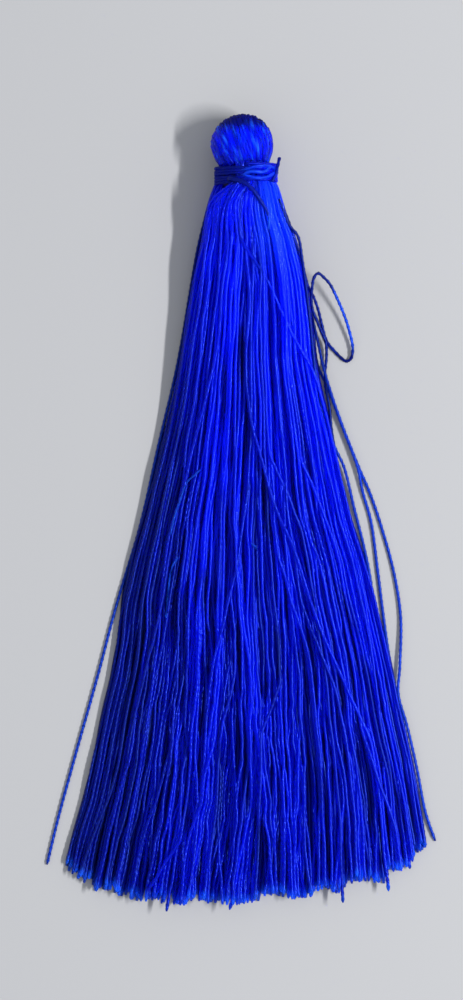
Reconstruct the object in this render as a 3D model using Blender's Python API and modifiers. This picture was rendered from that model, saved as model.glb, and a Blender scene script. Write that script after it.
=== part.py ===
"""A tassel of glossy two-ply blue thread, lying on its side on a flat surface.

One long thread is wound into a hank, folded, tied round just below the fold and cut. The fold is
the round head, the cut ends are the skirt. The tie is a second thread, wound round the neck, with a
knot and two free ends.

+X is across the skirt, +Y runs from the hem to the head, +Z is up off the surface. The origin is
on the surface, at the centre of the small flat spot under the head. Sizes in the tables are in
millimetres.
"""

import math

import bmesh
import bpy
import numpy as np

MM = 0.001
SEED = 8

# Overall sizes, in millimetres
HEAD_TOP = 3.35  # the head's crown, along +Y
AXIS_HEIGHT = 3.7  # the axis of the head and the neck, above the surface
HEAD_SQUASH = 0.985  # the head's height over its width
NECK_SQUASH = 0.885
SHOULDER_SQUASH = 0.765
NECK_TOP = -2.80
HEM = -96.3  # the middle of the hem
HEM_RISE_LEFT = 4.6  # how much nearer to the head the hem's corners are
HEM_RISE_RIGHT = 6.2
HEM_RAGGED = 0.9  # how far a cut end falls short, or runs long

# Threads
STRANDS = 232  # beside the strays
ROOT_RADIUS = 0.17  # a strand's three corners, from its middle line
TIP_RADIUS = 0.25
SWELL = 3  # a strand is full size, and settled, at one part in this many of its length
EDGE_FULLNESS = 0.96  # below 1, the skirt keeps some height at its side edges
SETTLE = 0.12  # the lowest strands sink by this and so lie level on the surface
WAVE = 0.35  # the skirt's slow sideways wave
WAVE_LENGTH = 43.0
WAVE_LAG = 2.5  # by how many radians the wave lags from the middle to an edge
WANDER = 0.08  # each strand's own drift
HEM_BOW = 3  # the power by which the hem rises towards its corners
GOLDEN = (math.sqrt(5) - 1) / 2

# Head, neck and shoulder: a turned shape, whose axis shifts a little sideways at the neck
BACKING_COLUMNS = ("along", "radius", "shift", "squash")
BACKING = (
    (HEAD_TOP, 0.00, 0.00, HEAD_SQUASH),
    (3.15, 1.35, 0.00, HEAD_SQUASH),
    (2.60, 2.50, 0.00, HEAD_SQUASH),
    (1.75, 3.40, 0.00, HEAD_SQUASH),
    (0.70, 3.88, 0.00, HEAD_SQUASH),
    (-0.40, 4.00, 0.00, HEAD_SQUASH),
    (-1.50, 3.86, 0.03, HEAD_SQUASH),
    (-2.30, 3.60, 0.10, HEAD_SQUASH),
    (NECK_TOP, 3.22, 0.30, NECK_SQUASH),
    (-5.90, 3.22, 0.50, NECK_SQUASH),
    (-6.15, 3.75, 0.46, 0.88),
    (-6.80, 4.45, 0.44, 0.80),
    (-7.60, 4.72, 0.44, SHOULDER_SQUASH),
    (-8.20, 4.58, 0.44, SHOULDER_SQUASH),
    (-8.20, 0.00, 0.44, SHOULDER_SQUASH),
)
BACKING_STEPS = 48
RIDGE = 0.08  # height of the thread ridges on the head, either way
RIDGE_FADE = 0.5  # the ridges fade out over this length above the neck
RIDGE_POLE = 2.0  # and inside this radius at the head's crown
RIDGE_SLANT = 0.07  # how far the ridges lean, in radians a millimetre

# The skirt's section at some places along it. Its underside is round by the shoulder and flat on the surface.
SKIRT_COLUMNS = ("along", "left", "right", "lift", "crown", "round")
SKIRT = (
    (-7.40, -3.55, 4.40, 0.42, 6.50, 1.0),
    (-13.6, -5.10, 6.45, 0.10, 6.15, 0.8),
    (-27.5, -7.50, 8.45, 0.00, 5.30, 0.2),
    (-47.7, -12.1, 12.7, 0.00, 4.00, 0.0),
    (-72.0, -17.6, 18.6, 0.00, 3.10, 0.0),
    (-97.5, -24.0, 22.9, 0.00, 2.60, 0.0),
)

# The strays, each a strand of the hank that leaves the skirt's edge. Points are chosen by hand.
ROUTE_COLUMNS = ("across", "along", "height")
LEFT_STRAY = (
    (-3.90, -7.4, 3.3),
    (-5.60, -13.6, 2.2),
    (-8.05, -27.5, 0.5),
    (-10.5, -38.0, 0.13),
    (-12.9, -48.5, 0.13),
    (-15.9, -58.5, 0.13),
    (-18.2, -67.2, 0.13),
    (-20.9, -76.8, 0.13),
    (-23.2, -85.2, 0.13),
    (-24.7, -91.4, 0.13),
)
OUTER_RIGHT_STRAY = (
    (4.72, -7.4, 2.5),
    (7.00, -13.6, 1.6),
    (8.75, -20.5, 0.45),
    (9.45, -27.5, 0.13),
    (10.9, -31.0, 0.13),
    (13.0, -36.6, 0.13),
    (14.9, -41.3, 0.13),
    (16.2, -44.3, 0.13),
    (17.6, -48.4, 0.13),
    (19.2, -54.2, 0.13),
    (20.1, -60.0, 0.30),
    (20.0, -66.0, 0.55),
    (19.8, -69.8, 0.55),
    (20.9, -73.8, 0.55),
    (22.1, -79.0, 0.55),
    (23.2, -84.6, 0.40),
    (24.5, -88.4, 0.13),
)
INNER_RIGHT_STRAY = (
    (4.82, -7.4, 3.3),
    (7.05, -13.6, 2.5),
    (8.50, -20.5, 1.2),
    (9.60, -25.2, 1.1),
    (10.4, -28.8, 1.05),
    (11.6, -32.7, 0.90),
    (13.0, -36.6, 0.62),
    (14.6, -40.9, 0.62),
    (15.3, -44.2, 0.30),
    (16.4, -48.2, 0.13),
    (17.2, -54.2, 0.13),
    (18.0, -60.5, 0.13),
    (18.9, -66.4, 0.13),
    (20.9, -75.6, 0.13),
    (21.7, -79.7, 0.13),
    (22.7, -85.2, 0.13),
    (23.4, -90.0, 0.13),
)
SIDE_STRAY = (
    (4.65, -7.4, 5.0),
    (6.75, -13.6, 4.4),
    (8.30, -22.0, 3.0),
    (9.70, -32.0, 1.6),
    (11.6, -38.1, 0.9),
    (13.0, -41.3, 0.7),
    (14.2, -46.2, 0.4),
    (15.3, -50.5, 0.13),
    (16.1, -54.2, 0.13),
    (16.8, -58.5, 0.13),
    (18.4, -66.4, 0.13),
    (20.4, -75.6, 0.13),
    (22.2, -85.2, 0.13),
    (22.8, -88.8, 0.13),
)
SNARL_STRAY = (
    (4.78, -7.4, 4.2),
    (6.95, -13.6, 3.4),
    (8.30, -18.1, 2.4),
    (9.00, -19.4, 1.5),
    (9.60, -21.0, 1.0),
    (10.1, -22.9, 0.45),
    (10.7, -25.0, 0.13),
    (11.7, -26.3, 0.13),
    (12.8, -27.4, 0.13),
    (13.4, -27.6, 0.20),
    (13.9, -27.1, 0.35),
    (14.0, -25.6, 0.60),
    (13.4, -23.2, 1.00),
    (12.8, -21.5, 1.30),
    (12.1, -19.9, 1.65),
    (11.2, -18.1, 2.10),
    (10.4, -17.2, 2.40),
    (9.60, -16.6, 2.65),
    (9.05, -17.2, 2.80),
    (8.85, -18.3, 2.80),
    (8.75, -19.9, 2.45),
    (8.95, -21.3, 2.05),
    (9.45, -22.5, 1.65),
    (10.0, -23.8, 1.25),
    (10.6, -25.2, 0.85),
    (10.7, -27.0, 0.55),
    (10.5, -29.3, 0.55),
    (10.6, -31.0, 0.55),
    (11.1, -33.6, 0.30),
    (11.6, -38.0, 0.13),
    (13.9, -50.5, 0.13),
    (17.9, -66.4, 0.13),
    (19.9, -75.6, 0.13),
    (22.3, -91.6, 0.13),
)
STRAY_RADIUS = 0.24

# The tie: wound turns with a ridge for each, then the knot's crossings and the two ends over them
TIE_TURNS = 5
TIE_TOP = -3.12
TIE_BOTTOM = -5.58
TIE_SHIFT = 0.50
TIE_INNER = 3.54  # across; its height keeps the neck's clearance
TIE_OUTER = 4.05
TIE_SQUASH = 0.865  # its underside clears the surface
TIE_STEPS = 40
RIDGE_EDGE = 0.20  # how far the groove between two turns lies below their outer face
RIDGE_SIDE = 0.04  # and how far their rounded sides do
TIE_TILT = math.radians(1.5)
THREAD_RADIUS = 0.25
TIE_COLUMNS = ("across", "along", "lift")
KNOT_UPPER = (
    (-0.3, -4.05, -0.30),
    (0.8, -3.75, 0.12),
    (2.0, -3.45, 0.25),
    (3.2, -3.35, 0.15),
    (4.1, -3.60, 0.00),
    (4.5, -4.00, -0.20),
)
KNOT_LOWER = (
    (-0.3, -4.45, -0.30),
    (0.9, -4.75, 0.15),
    (2.0, -4.95, 0.25),
    (3.1, -4.75, 0.20),
    (3.9, -4.30, 0.10),
    (4.4, -3.80, -0.20),
)
SHORT_END = (
    (1.6, -4.75, 0.10),
    (2.6, -4.25, 0.60),
    (3.5, -3.60, 0.65),
    (4.15, -2.95, 0.45),
    (4.65, -2.30, 0.25),
)
LONG_END = (
    (0.2, -4.10, 7.12),
    (0.9, -4.80, 7.50),
    (1.5, -5.60, 7.60),
    (2.1, -6.40, 7.50),
    (2.7, -7.20, 7.40),
    (3.2, -8.20, 7.20),
    (3.5, -9.20, 6.95),
    (3.5, -10.4, 6.70),
)

# Colours and finish
THREAD_BLUE = (0.004, 0.012, 0.62, 1.0)
TIE_BLUE = (0.004, 0.012, 0.50, 1.0)
THREAD_ROUGHNESS = 0.38
SMOOTH_ANGLE = math.radians(50)


def table(rows, columns):
    """Each named column of a table, as an array."""
    return dict(zip(columns, np.array(rows, float).T))


def material(name, colour):
    made = bpy.data.materials.new(name)
    made.use_nodes = True
    shader = made.node_tree.nodes["Principled BSDF"]
    shader.inputs["Base Color"].default_value = colour
    shader.inputs["Roughness"].default_value = THREAD_ROUGHNESS
    shader.inputs["Metallic"].default_value = 0.0
    made.diffuse_color = colour
    return made


def as_mesh(source, name):
    """The evaluated mesh of a curve or a modified mesh, as a new object in place of the source."""
    graph = bpy.context.evaluated_depsgraph_get()
    mesh = bpy.data.meshes.new_from_object(source.evaluated_get(graph))
    mesh.transform(source.matrix_world)
    made = bpy.data.objects.new(name, mesh)
    bpy.context.scene.collection.objects.link(made)
    bpy.data.objects.remove(source)
    return made


def weld(shape, distance=1e-6):
    """Joins points that coincide and turns every face outwards."""
    work = bmesh.new()
    work.from_mesh(shape.data)
    bmesh.ops.remove_doubles(work, verts=work.verts, dist=distance)
    bmesh.ops.recalc_face_normals(work, faces=work.faces)
    work.to_mesh(shape.data)
    work.free()
    return shape


def turned(name, profile, steps):
    """A profile of (along, radius) points turned round the Y axis, as a mesh object."""
    mesh = bpy.data.meshes.new(name)
    points = [(radius * MM, along * MM, 0.0) for along, radius in profile]
    edges = [(k, k + 1) for k in range(len(points) - 1)]
    mesh.from_pydata(points, edges, [])
    source = bpy.data.objects.new(name, mesh)
    bpy.context.scene.collection.objects.link(source)
    screw = source.modifiers.new("Turn", "SCREW")
    screw.axis = "Y"
    screw.steps = steps
    screw.render_steps = steps
    screw.use_merge_vertices = True
    screw.merge_threshold = 1e-6
    return weld(as_mesh(source, name))


def read_points(shape):
    """A mesh's points in millimetres, as rows of (across, along, height)."""
    flat = np.empty(len(shape.data.vertices) * 3)
    shape.data.vertices.foreach_get("co", flat)
    return flat.reshape(-1, 3) / MM


def write_points(shape, points):
    shape.data.vertices.foreach_set("co", (points * MM).ravel())
    shape.data.update()


def backing():
    """Head, neck and shoulder in one: turned, ridged by the threads over the head, and set on its flat."""
    rows = table(BACKING, BACKING_COLUMNS)
    shape = turned("backing", list(zip(rows["along"], rows["radius"])), BACKING_STEPS)
    points = read_points(shape)
    across, along, height = points.T
    radius = np.hypot(across, height)
    angle = np.arctan2(height, across)
    place = np.round(angle / (2 * math.pi / BACKING_STEPS)).astype(int)
    on_head = np.clip((along - NECK_TOP) / RIDGE_FADE, 0, 1) * np.clip(radius / RIDGE_POLE, 0, 1)
    radius = radius + RIDGE * (1 - 2 * (place % 2)) * on_head
    angle = angle + RIDGE_SLANT * (along - HEAD_TOP)
    order = np.argsort(rows["along"])
    shift = np.interp(along, rows["along"][order], rows["shift"][order])
    squash = np.interp(along, rows["along"][order], rows["squash"][order])
    points[:, 0] = radius * np.cos(angle) + shift
    points[:, 2] = np.maximum(radius * np.sin(angle) * squash + AXIS_HEIGHT, 0.0)
    write_points(shape, points)
    return shape


def triangle_section():
    """The three-sided section that strands are drawn with, one millimetre from its middle to each corner."""
    data = bpy.data.curves.new("strand_section", "CURVE")
    data.dimensions = "2D"
    spline = data.splines.new("POLY")
    spline.points.add(2)
    for corner in range(3):
        turn = math.pi / 2 + corner * 2 * math.pi / 3
        spline.points[corner].co = (MM * math.cos(turn), MM * math.sin(turn), 0.0, 1.0)
    spline.use_cyclic_u = True
    section = bpy.data.objects.new("strand_section", data)
    bpy.context.scene.collection.objects.link(section)
    return section


def tubes(name, paths, section=None, radius=THREAD_RADIUS):
    """Tubes along paths of (across, along, height, radius) rows, as one mesh object."""
    data = bpy.data.curves.new(name, "CURVE")
    data.dimensions = "3D"
    data.use_fill_caps = True
    data.twist_mode = "Z_UP"
    if section:
        data.bevel_mode = "OBJECT"
        data.bevel_object = section
    else:
        data.bevel_depth = radius * MM
        data.bevel_resolution = 2
    for path in paths:
        spline = data.splines.new("POLY")
        spline.points.add(len(path) - 1)
        places = np.column_stack([path[:, :3] * MM, np.ones(len(path))])
        spline.points.foreach_set("co", places.ravel())
        spline.points.foreach_set("radius", path[:, 3])
    source = bpy.data.objects.new(name, data)
    bpy.context.scene.collection.objects.link(source)
    return weld(as_mesh(source, name))


def skirt_spots(count):
    """Where each strand stands in the skirt's section: across from -1 to 1, and up from 0 to 1.

    The spots are a golden-ratio lattice. It stays evenly spread however the section is stretched, so
    that strands keep apart from the round shoulder to the flat hem. Equal shares of an ellipse's area
    give the place across.
    """
    number = np.arange(count)
    share = (number * GOLDEN) % 1.0
    up = (number + 0.5) / count
    across = np.linspace(-1, 1, 401)
    area = 0.5 + (across * np.sqrt(1 - across**2) + np.arcsin(across)) / math.pi
    return np.interp(share, area, across), up


def hem_end(across):
    """Where along the skirt a strand ends, by its place across it."""
    rise = np.where(across < 0, HEM_RISE_LEFT, HEM_RISE_RIGHT)
    return HEM + rise * np.abs(across) ** HEM_BOW


def skirt_strands():
    """Paths of the skirt's strands, from inside the shoulder to the hem."""
    chance = np.random.default_rng(SEED)
    rows = table(SKIRT, SKIRT_COLUMNS)
    across, up = skirt_spots(STRANDS)
    stations = len(SKIRT)
    spread = (1 + across[:, None]) / 2
    x = rows["left"] + (rows["right"] - rows["left"]) * spread
    full = np.sqrt(1 - (EDGE_FULLNESS * across[:, None]) ** 2)
    underside = rows["lift"] + rows["round"] * rows["crown"] / 2 * (1 - full)
    opened = (rows["along"][0] - rows["along"]) / (rows["along"][0] - rows["along"][-1])
    grown = np.minimum(opened * SWELL, 1)
    radius = ROOT_RADIUS + (TIP_RADIUS - ROOT_RADIUS) * grown
    wave = np.sin(rows["along"] * 2 * math.pi / WAVE_LENGTH + across[:, None] * WAVE_LAG)
    x = x + WAVE * opened * (1 - across[:, None] ** 4) * wave
    x[:, 1:] += chance.uniform(-WANDER, WANDER, (STRANDS, stations - 1))
    z = underside + rows["crown"] * full * up[:, None] + radius / 2 - SETTLE * grown
    z = np.maximum(z, radius / 2)
    y = np.broadcast_to(rows["along"], x.shape).copy()
    end = hem_end(across) + chance.uniform(-HEM_RAGGED, HEM_RAGGED, STRANDS)
    part = (end - y[:, -2]) / (y[:, -1] - y[:, -2])
    for values in (x, y, z):
        values[:, -1] = values[:, -2] + (values[:, -1] - values[:, -2]) * part
    radii = np.broadcast_to(radius, x.shape)
    return np.stack([x, y, z, radii], axis=2)


def stray_strands():
    """Paths of the strays: thin at the root and full size past the shoulder."""
    paths = []
    for stray in (LEFT_STRAY, OUTER_RIGHT_STRAY, INNER_RIGHT_STRAY, SIDE_STRAY, SNARL_STRAY):
        rows = table(stray, ROUTE_COLUMNS)
        radius = np.full(len(stray), STRAY_RADIUS)
        radius[0] = ROOT_RADIUS
        height = np.maximum(rows["height"], radius / 2)
        paths.append(np.column_stack([rows["across"], rows["along"], height, radius]))
    return paths


def join(first, others, name):
    """Boolean union of the shapes, in the first one."""
    for number, other in enumerate(others):
        union = first.modifiers.new(f"Join {number}", "BOOLEAN")
        union.operation = "UNION"
        union.solver = "EXACT"
        union.object = other
    made = as_mesh(first, name)
    for other in others:
        bpy.data.objects.remove(other)
    return made


def thread_hank():
    section = triangle_section()
    strands = tubes("strands", list(skirt_strands()) + stray_strands(), section)
    bpy.data.objects.remove(section)
    return join(backing(), [strands], "thread_hank")


def over_tie(path):
    """A path laid over the wound turns: its lift is measured from their outer face."""
    rows = table(path, TIE_COLUMNS)
    reach = TIE_OUTER + rows["lift"]
    rise = np.sqrt(np.maximum(reach**2 - (rows["across"] - TIE_SHIFT) ** 2, 0.0))
    height = AXIS_HEIGHT + TIE_SQUASH * rise
    return np.column_stack([rows["across"], rows["along"], height, np.ones(len(path))])


def wound_turns():
    """The tie's turns as one ring, with a half-round ridge for each turn."""
    pitch = (TIE_TOP - TIE_BOTTOM) / TIE_TURNS
    outer = []
    for turn in range(TIE_TURNS):
        start = TIE_TOP - turn * pitch
        outer.append((start, TIE_OUTER - RIDGE_EDGE))
        outer.append((start - 0.25 * pitch, TIE_OUTER - RIDGE_SIDE))
        outer.append((start - 0.50 * pitch, TIE_OUTER))
        outer.append((start - 0.75 * pitch, TIE_OUTER - RIDGE_SIDE))
    outer.append((TIE_BOTTOM, TIE_OUTER - RIDGE_EDGE))
    profile = [(TIE_TOP, TIE_INNER)] + outer + [(TIE_BOTTOM, TIE_INNER), (TIE_TOP, TIE_INNER)]
    ring = turned("wound_turns", profile, TIE_STEPS)
    points = read_points(ring)
    points[:, 1] += np.tan(TIE_TILT) * points[:, 0]
    points[:, 0] += TIE_SHIFT
    points[:, 2] = points[:, 2] * TIE_SQUASH + AXIS_HEIGHT
    write_points(ring, points)
    return ring


def neck_tie():
    rows = table(LONG_END, ROUTE_COLUMNS)
    long_end = np.column_stack([rows["across"], rows["along"], rows["height"], np.ones(len(LONG_END))])
    pieces = [over_tie(KNOT_UPPER), over_tie(KNOT_LOWER), over_tie(SHORT_END), long_end]
    threads = [tubes(f"tie_thread_{k}", [path]) for k, path in enumerate(pieces)]
    return join(wound_turns(), threads, "neck_tie")


def finish(shape, colour, collection):
    shape.data.materials.clear()
    shape.data.materials.append(colour)
    for owner in list(shape.users_collection):
        owner.objects.unlink(shape)
    collection.objects.link(shape)
    shape.data.shade_smooth()
    shape.data.set_sharp_from_angle(angle=SMOOTH_ANGLE)


def main():
    for old in list(bpy.data.objects):
        bpy.data.objects.remove(old)
    collection = bpy.data.collections.new("tassel")
    bpy.context.scene.collection.children.link(collection)
    finish(thread_hank(), material("blue_thread", THREAD_BLUE), collection)
    finish(neck_tie(), material("blue_tie", TIE_BLUE), collection)


main()
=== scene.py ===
# %% [markdown]
# # A tassel of glossy blue thread
#
# A tassel is one long thread, wound into a hank, folded in half, tied just below the fold and cut
# at the other end. So nearly all of it is the same thing over and over: a thin thread of two plies
# twisted together. This script first finds a good way to make one such thread, then works out
# where some three hundred of them lie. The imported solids, which come first, stay as they are.

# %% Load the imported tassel
import math

import bpy
import numpy as np
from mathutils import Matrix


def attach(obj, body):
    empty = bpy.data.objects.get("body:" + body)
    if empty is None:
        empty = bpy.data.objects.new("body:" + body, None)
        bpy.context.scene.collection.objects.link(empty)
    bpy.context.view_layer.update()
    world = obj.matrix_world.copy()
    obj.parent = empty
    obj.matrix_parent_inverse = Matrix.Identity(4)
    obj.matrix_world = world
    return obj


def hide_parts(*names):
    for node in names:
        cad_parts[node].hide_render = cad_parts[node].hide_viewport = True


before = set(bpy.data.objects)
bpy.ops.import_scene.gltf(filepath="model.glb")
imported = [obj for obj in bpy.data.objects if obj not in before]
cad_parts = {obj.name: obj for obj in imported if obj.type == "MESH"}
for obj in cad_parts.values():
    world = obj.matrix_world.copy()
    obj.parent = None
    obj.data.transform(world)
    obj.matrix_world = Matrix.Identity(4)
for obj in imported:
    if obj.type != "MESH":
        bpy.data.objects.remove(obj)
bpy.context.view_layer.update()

# %% [markdown]
# ## Units and places
#
# Lengths are in millimetres, because thread is small, and become metres only when a mesh is
# written. X runs across the skirt, Y from the hem towards the head, and Z up from the surface. All
# random choices come from one seeded generator, so the tassel is the same each time.

# %% Units
MM = 0.001
TURN = 2 * math.pi
GOLDEN = (math.sqrt(5) - 1) / 2
SEED = 21
chance = np.random.default_rng(SEED)

# %% [markdown]
# ## One thread
#
# Two-ply thread is two round plies lying side by side and turning about each other. It could be
# two tubes wound as helices, but their inner halves are never seen and would double the faces. One
# tube does as well if its section is the outline of the two plies, wide one way and narrow the
# other, and turns as it goes. The wide and narrow places then pass along it as the crossings do.

# %% The section of a two-ply thread
THREAD_RADIUS = 0.24  # from the thread's middle to the outside of a ply
PLY_OFFSET = 0.07  # from the thread's middle to a ply's middle, in a slack thread
TAUT_OFFSET = 0.03  # and in one that is pulled tight over the head
PLY_PITCH = 1.60  # length of one full turn of the plies
THREAD_SPACING = 0.44  # between the middles of two threads that touch
SEEN_SIDES, HIDDEN_SIDES = 6, 4


def ply_outline(sides, offset):
    """Angle and distance of each corner of the section. The distance is offset x cosine + root of
    (ply radius squared - (offset x sine) squared), at an angle from the line through both plies."""
    angle = TURN * np.arange(sides) / sides
    inside = (THREAD_RADIUS - offset) ** 2 - (offset * np.sin(angle)) ** 2
    return angle, offset * np.abs(np.cos(angle)) + np.sqrt(inside)


print("corners, in mm from the middle", ply_outline(SEEN_SIDES, PLY_OFFSET)[1].round(3))

# %% [markdown]
# ## From paths to a mesh
#
# A tube follows a path of points. At each point the path's direction, a sideways direction and an
# upward one make a small frame, and the section is drawn in the last two. All threads of a piece
# have the same number of rings, so one array holds the whole piece: thread, ring, corner. For the
# finish the mesh carries a tone, which holds painted shade besides the threads' own differences, a
# dullness, and a paleness named "tip", which is a painted highlight on the cut ends and wherever
# light is painted in.

# %% Tubes along paths
STRIP_MARGIN, SHEET_MARGIN = 0.08, 0.02  # free beside a strip's walls and at the UV map's ends
END_PLACE, END_HALF = 0.008, (0.006, 0.35)  # middle and half size of an end face in the UV map


def unit(vectors):
    """The same directions, each one long."""
    return vectors / np.maximum(np.linalg.norm(vectors, axis=-1, keepdims=True), 1e-12)


def gone(points):
    """Length of the way from the first point of a path to each of its points."""
    step = np.linalg.norm(np.diff(points, axis=-2), axis=-1)
    return np.concatenate([0 * step[..., :1], np.cumsum(step, axis=-1)], axis=-1)


def twisted_tubes(paths, upward, phase, size, sides, offset, pitch):
    """Corner points (thread, ring, corner) of tubes along the paths. The section, scaled by size,
    is turned by the thread's phase and one full turn for each pitch of length."""
    along = unit(np.gradient(paths, axis=1))
    side = unit(np.cross(along, upward))
    over = np.cross(side, along)
    angle, reach = ply_outline(sides, offset)
    turned = TURN * (gone(paths) / pitch)[..., None] + phase[:, None, None] + angle
    out = (reach * size[..., None])[..., None]
    sideways = np.cos(turned)[..., None] * side[:, :, None]
    return paths[:, :, None] + out * (sideways + np.sin(turned)[..., None] * over[:, :, None])


def tube_uv(threads, rings, sides):
    """UV corners of the walls, then of the root and tip faces. Each thread has one strip, with its
    length along U and its girth along V, and its end faces lie in the margins."""
    thread, ring, corner = np.indices((threads, rings - 1, sides))[..., None]
    lengthwise = (ring + (0, 1, 1, 0)) / (rings - 1)
    girth = (corner + (0, 0, 1, 1)) / sides
    strip = (thread + STRIP_MARGIN + (1 - 2 * STRIP_MARGIN) * girth) / threads
    walls = np.stack([SHEET_MARGIN + (1 - 2 * SHEET_MARGIN) * lengthwise, strip], axis=-1)
    angle = TURN * np.arange(sides) / sides
    middle = (np.arange(threads)[:, None] + 0.5 + END_HALF[1] * np.sin(angle)) / threads
    inward = np.broadcast_to(END_PLACE + END_HALF[0] * np.cos(angle), middle.shape)
    root, tip = (np.stack([end, middle], axis=-1) for end in (inward, 1 - inward))
    return np.concatenate([part.reshape(-1, 2) for part in (walls, root, tip[:, ::-1])])


def tube_mesh(name, corners, **shades):
    """A mesh of closed tubes from corner points. Each shade becomes an attribute."""
    threads, rings, sides, _ = corners.shape
    index = np.arange(threads * rings * sides).reshape(threads, rings, sides)
    beside = np.roll(index, -1, axis=2)
    walls = np.stack([index[:, :-1], index[:, 1:], beside[:, 1:], beside[:, :-1]], axis=-1)
    loops = np.concatenate([part.reshape(-1) for part in (walls, index[:, 0], index[:, -1, ::-1])])
    starts = np.r_[0 : walls.size : 4, walls.size : loops.size : sides]
    mesh = bpy.data.meshes.new(name)
    mesh.vertices.add(index.size)
    mesh.vertices.foreach_set("co", (corners * MM).reshape(-1))
    mesh.loops.add(loops.size)
    mesh.loops.foreach_set("vertex_index", loops)
    mesh.polygons.add(starts.size)
    mesh.polygons.foreach_set("loop_start", starts)
    mesh.update(calc_edges=True)
    mesh.shade_smooth()
    uv = tube_uv(threads, rings, sides)
    mesh.uv_layers.new(name="OFBake").uv.foreach_set("vector", uv.reshape(-1))
    for title, values in shades.items():
        spread = np.repeat(np.float32(np.broadcast_to(values, (threads, rings))), sides)
        mesh.attributes.new(title, "FLOAT", "POINT").data.foreach_set("value", spread)
    return mesh


def placed(name, data):
    """An object with this data, in the scene."""
    piece = bpy.data.objects.new(name, data)
    bpy.context.scene.collection.objects.link(piece)
    return piece


def thread_piece(
    name, paths, upward, tone, size=1.0, tip=0.0, dull=None, twisted=True, offset=PLY_OFFSET
):
    """An object of threads along the paths (thread, ring, place). Where they aren't seen, they are
    plain tubes with a corner each way and one up and down."""
    count, rings = paths.shape[:2]
    sides = SEEN_SIDES if twisted else HIDDEN_SIDES
    phase = chance.uniform(0, TURN, count) * twisted
    pitch, offset = (PLY_PITCH, offset) if twisted else (np.inf, 0.0)
    dull = chance.uniform(0, 1, (count, 1)) ** 2 if dull is None else dull
    size = np.broadcast_to(size, (count, rings))
    corners = twisted_tubes(paths, upward, phase, size, sides, offset, pitch)
    corners[..., 2] = np.maximum(corners[..., 2], 0)  # none of it goes into the surface
    # The tone attribute carries painted shade, and tip carries a painted highlight.
    mesh = tube_mesh(name, corners, tone=np.clip(tone, 0, 1), tip=tip, dull=dull)
    print(name, count, "threads,", 2 * count * (rings * sides - 2), "triangles")
    return placed(name, mesh)


# %% [markdown]
# ## Smooth paths through few points
#
# A thread's path is known at a few places and is smooth between them. A Catmull-Rom curve passes
# through every point, which is what a table of measured places needs.

# %% Curves through points
FINE_STEPS = 40  # to each point, when a curve is measured
LEVEL = 0.22  # height of the middle of a thread that lies on the surface


def through(points, where):
    """Points (curve, sample) of Catmull-Rom curves through points (curve, place), at the given
    places, which count from 0 at the first point. Between two points the curve is the cubic whose
    direction at each is half the step from the point before it to the point after it."""
    last = points.shape[1] - 1
    start = np.clip(np.floor(where).astype(int), 0, last - 1)
    part = (where - start)[..., None]
    before, first, second, after = (
        np.take_along_axis(points, np.clip(start + shift, 0, last)[..., None], axis=1)
        for shift in (-1, 0, 1, 2)
    )
    linear = (second - before) / 2
    square = before - 2.5 * first + 2 * second - after / 2
    cube = (after - before) / 2 + 1.5 * (first - second)
    return first + part * (linear + part * (square + part * cube))


def evenly(points, rings):
    """One curve through the points, as evenly spaced rings. A point without a height is level."""
    points = np.array([(*point, LEVEL)[:3] for point in points])[None]
    count = points.shape[1]
    fine = through(points, np.linspace(0, count - 1, FINE_STEPS * count)[None])[0]
    way = gone(fine)
    wanted = np.linspace(0, way[-1], rings)
    return np.stack([np.interp(wanted, way, places) for places in fine.T], axis=-1)


# %% [markdown]
# ## The skirt's room
#
# The skirt is a bundle that comes out of the neck round and settles as it fans out, until at the
# hem it is a low wide heap. The table says how far it reaches to the left and right, how high its
# underside and its middle are, and how round it is.

# %% The skirt's outline
SKIRT_COLUMNS = ("left", "right", "lift", "crown", "round")  # after the place along the skirt
SKIRT = np.array([
    (-2.0, -2.7, 3.1, 1.0, 5.4, 1.0),
    (-5.0, -2.75, 3.75, 0.95, 5.5, 1.0),
    (-5.8, -3.4, 4.4, 0.7, 6.0, 1.0),
    (-7.3, -3.95, 4.85, 0.42, 6.5, 1.0),
    (-9.8, -4.6, 5.6, 0.25, 6.45, 0.9),
    (-12.4, -5.0, 6.7, 0.12, 6.25, 0.8),
    (-17.4, -6.0, 8.0, 0.05, 5.95, 0.6),
    (-22.5, -6.95, 8.75, 0.0, 5.6, 0.4),
    (-27.5, -7.7, 9.15, 0.0, 5.3, 0.2),
    (-32.6, -8.65, 10.25, 0.0, 4.95, 0.1),
    (-37.6, -9.9, 11.4, 0.0, 4.6, 0.0),
    (-42.7, -11.1, 12.5, 0.0, 4.3, 0.0),
    (-47.7, -12.5, 13.65, 0.0, 4.0, 0.0),
    (-52.8, -13.9, 15.4, 0.0, 3.8, 0.0),
    (-57.8, -15.0, 16.7, 0.0, 3.6, 0.0),
    (-62.9, -15.6, 17.95, 0.0, 3.4, 0.0),
    (-67.9, -16.5, 19.15, 0.0, 3.2, 0.0),
    (-73.0, -17.7, 20.1, 0.0, 3.05, 0.0),
    (-78.0, -18.7, 21.35, 0.0, 2.95, 0.0),
    (-83.1, -19.9, 22.25, 0.0, 2.85, 0.0),
    (-88.1, -21.4, 23.05, 0.0, 2.75, 0.0),
    (-93.0, -22.6, 23.7, 0.0, 2.65, 0.0),
    (-98.0, -23.8, 24.3, 0.0, 2.6, 0.0),
])
STATION = 1.25  # length of skirt between two places where the threads are worked out
stations = np.arange(SKIRT[0, 0], SKIRT[-1, 0], -STATION)


def skirt_room(along):
    """The skirt's columns at places along it, by straight lines between the table's rows."""
    down, *columns = SKIRT[::-1].T
    return {title: np.interp(along, down, values) for title, values in zip(SKIRT_COLUMNS, columns)}


room = skirt_room(stations)
print(len(stations), "stations, skirt", room["right"][-1] - room["left"][-1], "mm wide at the hem")

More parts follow.
